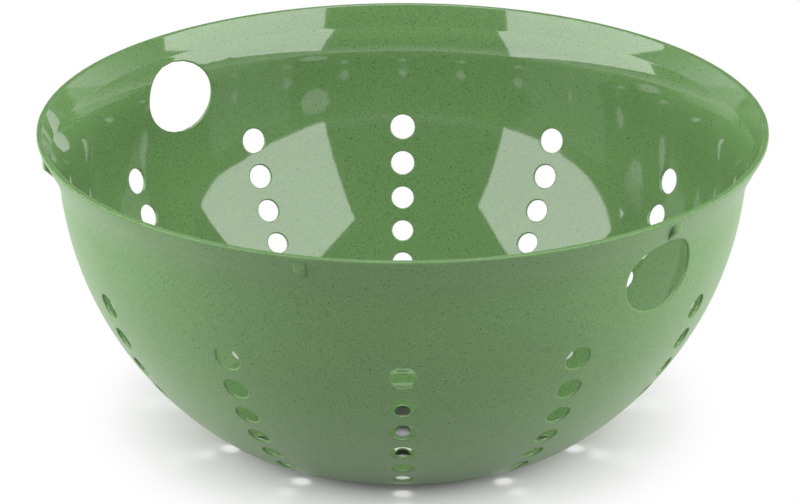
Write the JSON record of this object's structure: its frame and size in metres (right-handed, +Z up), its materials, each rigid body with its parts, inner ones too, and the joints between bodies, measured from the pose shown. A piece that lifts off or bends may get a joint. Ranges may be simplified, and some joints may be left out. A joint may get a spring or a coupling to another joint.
{
  "type": "bowl colander",
  "caption": "Round plastic bowl colander with a flared rim, columns of round drain holes, two large grip holes and a domed base.",
  "frame": {"origin": "middle of the base, on the surface that the colander stands on", "axes": "+Z up along the bowl's axis, -Y towards the front hole column, grip holes at 45 degrees right of the front and opposite"},
  "size_m": [0.2824, 0.2824, 0.123],
  "materials": {
    "green_plastic": "moulded green plastic with fine dark flecks, glossy inside and satin outside"
  },
  "bodies": {
    "root": {"colander_bowl": "green_plastic"}
  },
  "joints": []
}
